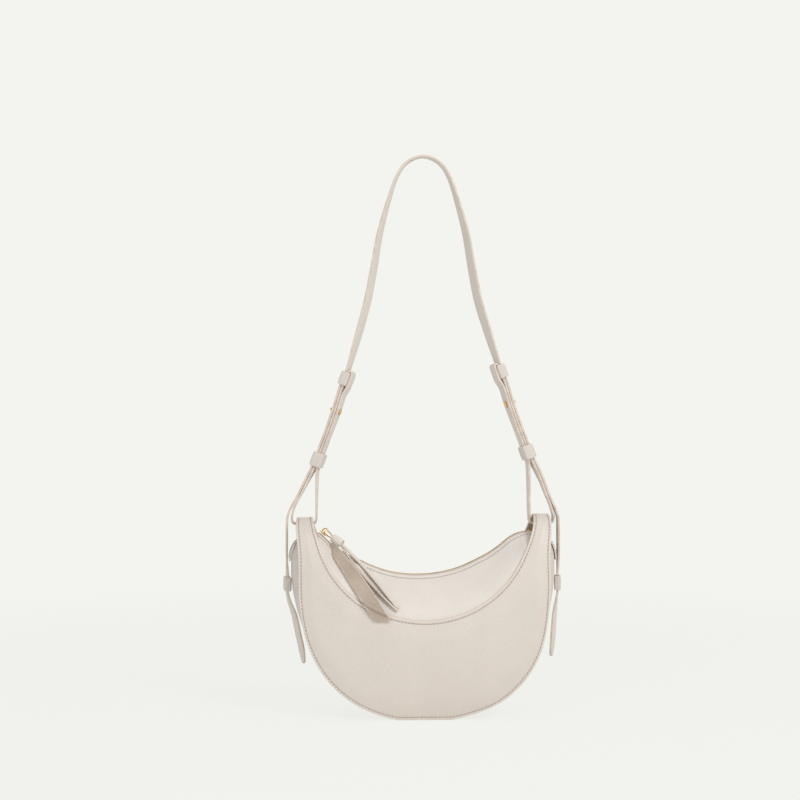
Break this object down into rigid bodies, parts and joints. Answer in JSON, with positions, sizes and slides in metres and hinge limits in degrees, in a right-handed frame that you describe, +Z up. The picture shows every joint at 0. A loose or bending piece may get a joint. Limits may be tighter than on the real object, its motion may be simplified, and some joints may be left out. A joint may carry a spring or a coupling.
{
  "type": "saddle shoulder bag",
  "caption": "Crescent saddle shoulder bag with a tall buttoned strap, sliding leather keepers, a curved zip and a leather pull.",
  "frame": {"origin": "middle of the pressed flat base", "axes": "+Z up along the strap, X along the zip, the front faces -Y"},
  "size_m": [0.2693, 0.0859, 0.5377],
  "materials": {
    "cream_leather": "smooth cream leather",
    "yoke_leather": "smooth cream leather",
    "keeper_leather": "smooth leather, painted edges",
    "backing_leather": "raw flesh side",
    "lining_cloth": "plain woven",
    "zip_tape": "herringbone tape",
    "gold_metal": "polished pale gold"
  },
  "bodies": {
    "bag": {"front_panel": "cream_leather", "back_panel": "cream_leather", "front_yoke": "yoke_leather", "back_yoke": "yoke_leather", "front_stiffener": "backing_leather", "back_stiffener": "backing_leather", "gusset": "cream_leather", "lining_front": "lining_cloth", "lining_back": "lining_cloth", "lining_gusset": "lining_cloth", "inner_pocket": "lining_cloth", "front_zip_tape": "zip_tape", "back_zip_tape": "zip_tape", "front_zip_teeth": "gold_metal", "back_zip_teeth": "gold_metal", "left_zip_stop": "gold_metal", "right_zip_stop": "gold_metal", "left_zip_tab": "cream_leather", "right_zip_tab": "cream_leather", "left_strap_tail": "cream_leather", "right_strap_tail": "cream_leather", "left_side_keeper": "keeper_leather", "right_side_keeper": "keeper_leather"},
    "strap": {"shoulder_strap": "cream_leather", "left_anchor_loop": "cream_leather", "right_anchor_loop": "cream_leather", "left_upper_ring": "keeper_leather", "right_upper_ring": "keeper_leather", "left_stud": "gold_metal", "right_stud": "gold_metal"},
    "left_keeper": {"left_middle_keeper": "keeper_leather"},
    "right_keeper": {"right_middle_keeper": "keeper_leather"},
    "slider": {"zip_slider": "gold_metal"},
    "link": {"pull_ring": "gold_metal"},
    "tassel": {"pull_wrap": "cream_leather", "wide_tongue": "cream_leather", "upper_tongue": "cream_leather", "lower_tongue": "cream_leather"}
  },
  "joints": [
    {"name": "strap_swing", "type": "hinge", "parent": "bag", "child": "strap", "pos_m": [0, 0, 0.183], "axis": [-1, 0, 0], "range_deg": [-60, 60]},
    {"name": "left_keeper_slide", "type": "slide", "parent": "strap", "child": "left_keeper", "axis": [0.3453, 0, 0.9385], "range_m": [0, 0.024]},
    {"name": "right_keeper_slide", "type": "slide", "parent": "strap", "child": "right_keeper", "axis": [-0.3469, 0, 0.9379], "range_m": [0, 0.024]},
    {"name": "zip_travel", "type": "hinge", "parent": "bag", "child": "slider", "pos_m": [-0.0056, 0, 0.2617], "axis": [0, -1, 0], "range_deg": [0, 84]},
    {"name": "pull_lead", "type": "hinge", "parent": "slider", "child": "link", "pos_m": [-0.09427, 0, 0.17573], "axis": [0, -1, 0], "range_deg": [0, 59]},
    {"name": "tassel_lift", "type": "hinge", "parent": "link", "child": "tassel", "pos_m": [-0.08851, -0.0028, 0.17094], "axis": [-0.2688, -0.9368, 0.224], "range_deg": [0, 60]}
  ],
  "couplings": [
    {"joint": "pull_lead", "follows": "zip_travel", "ratio": 0.7}
  ]
}
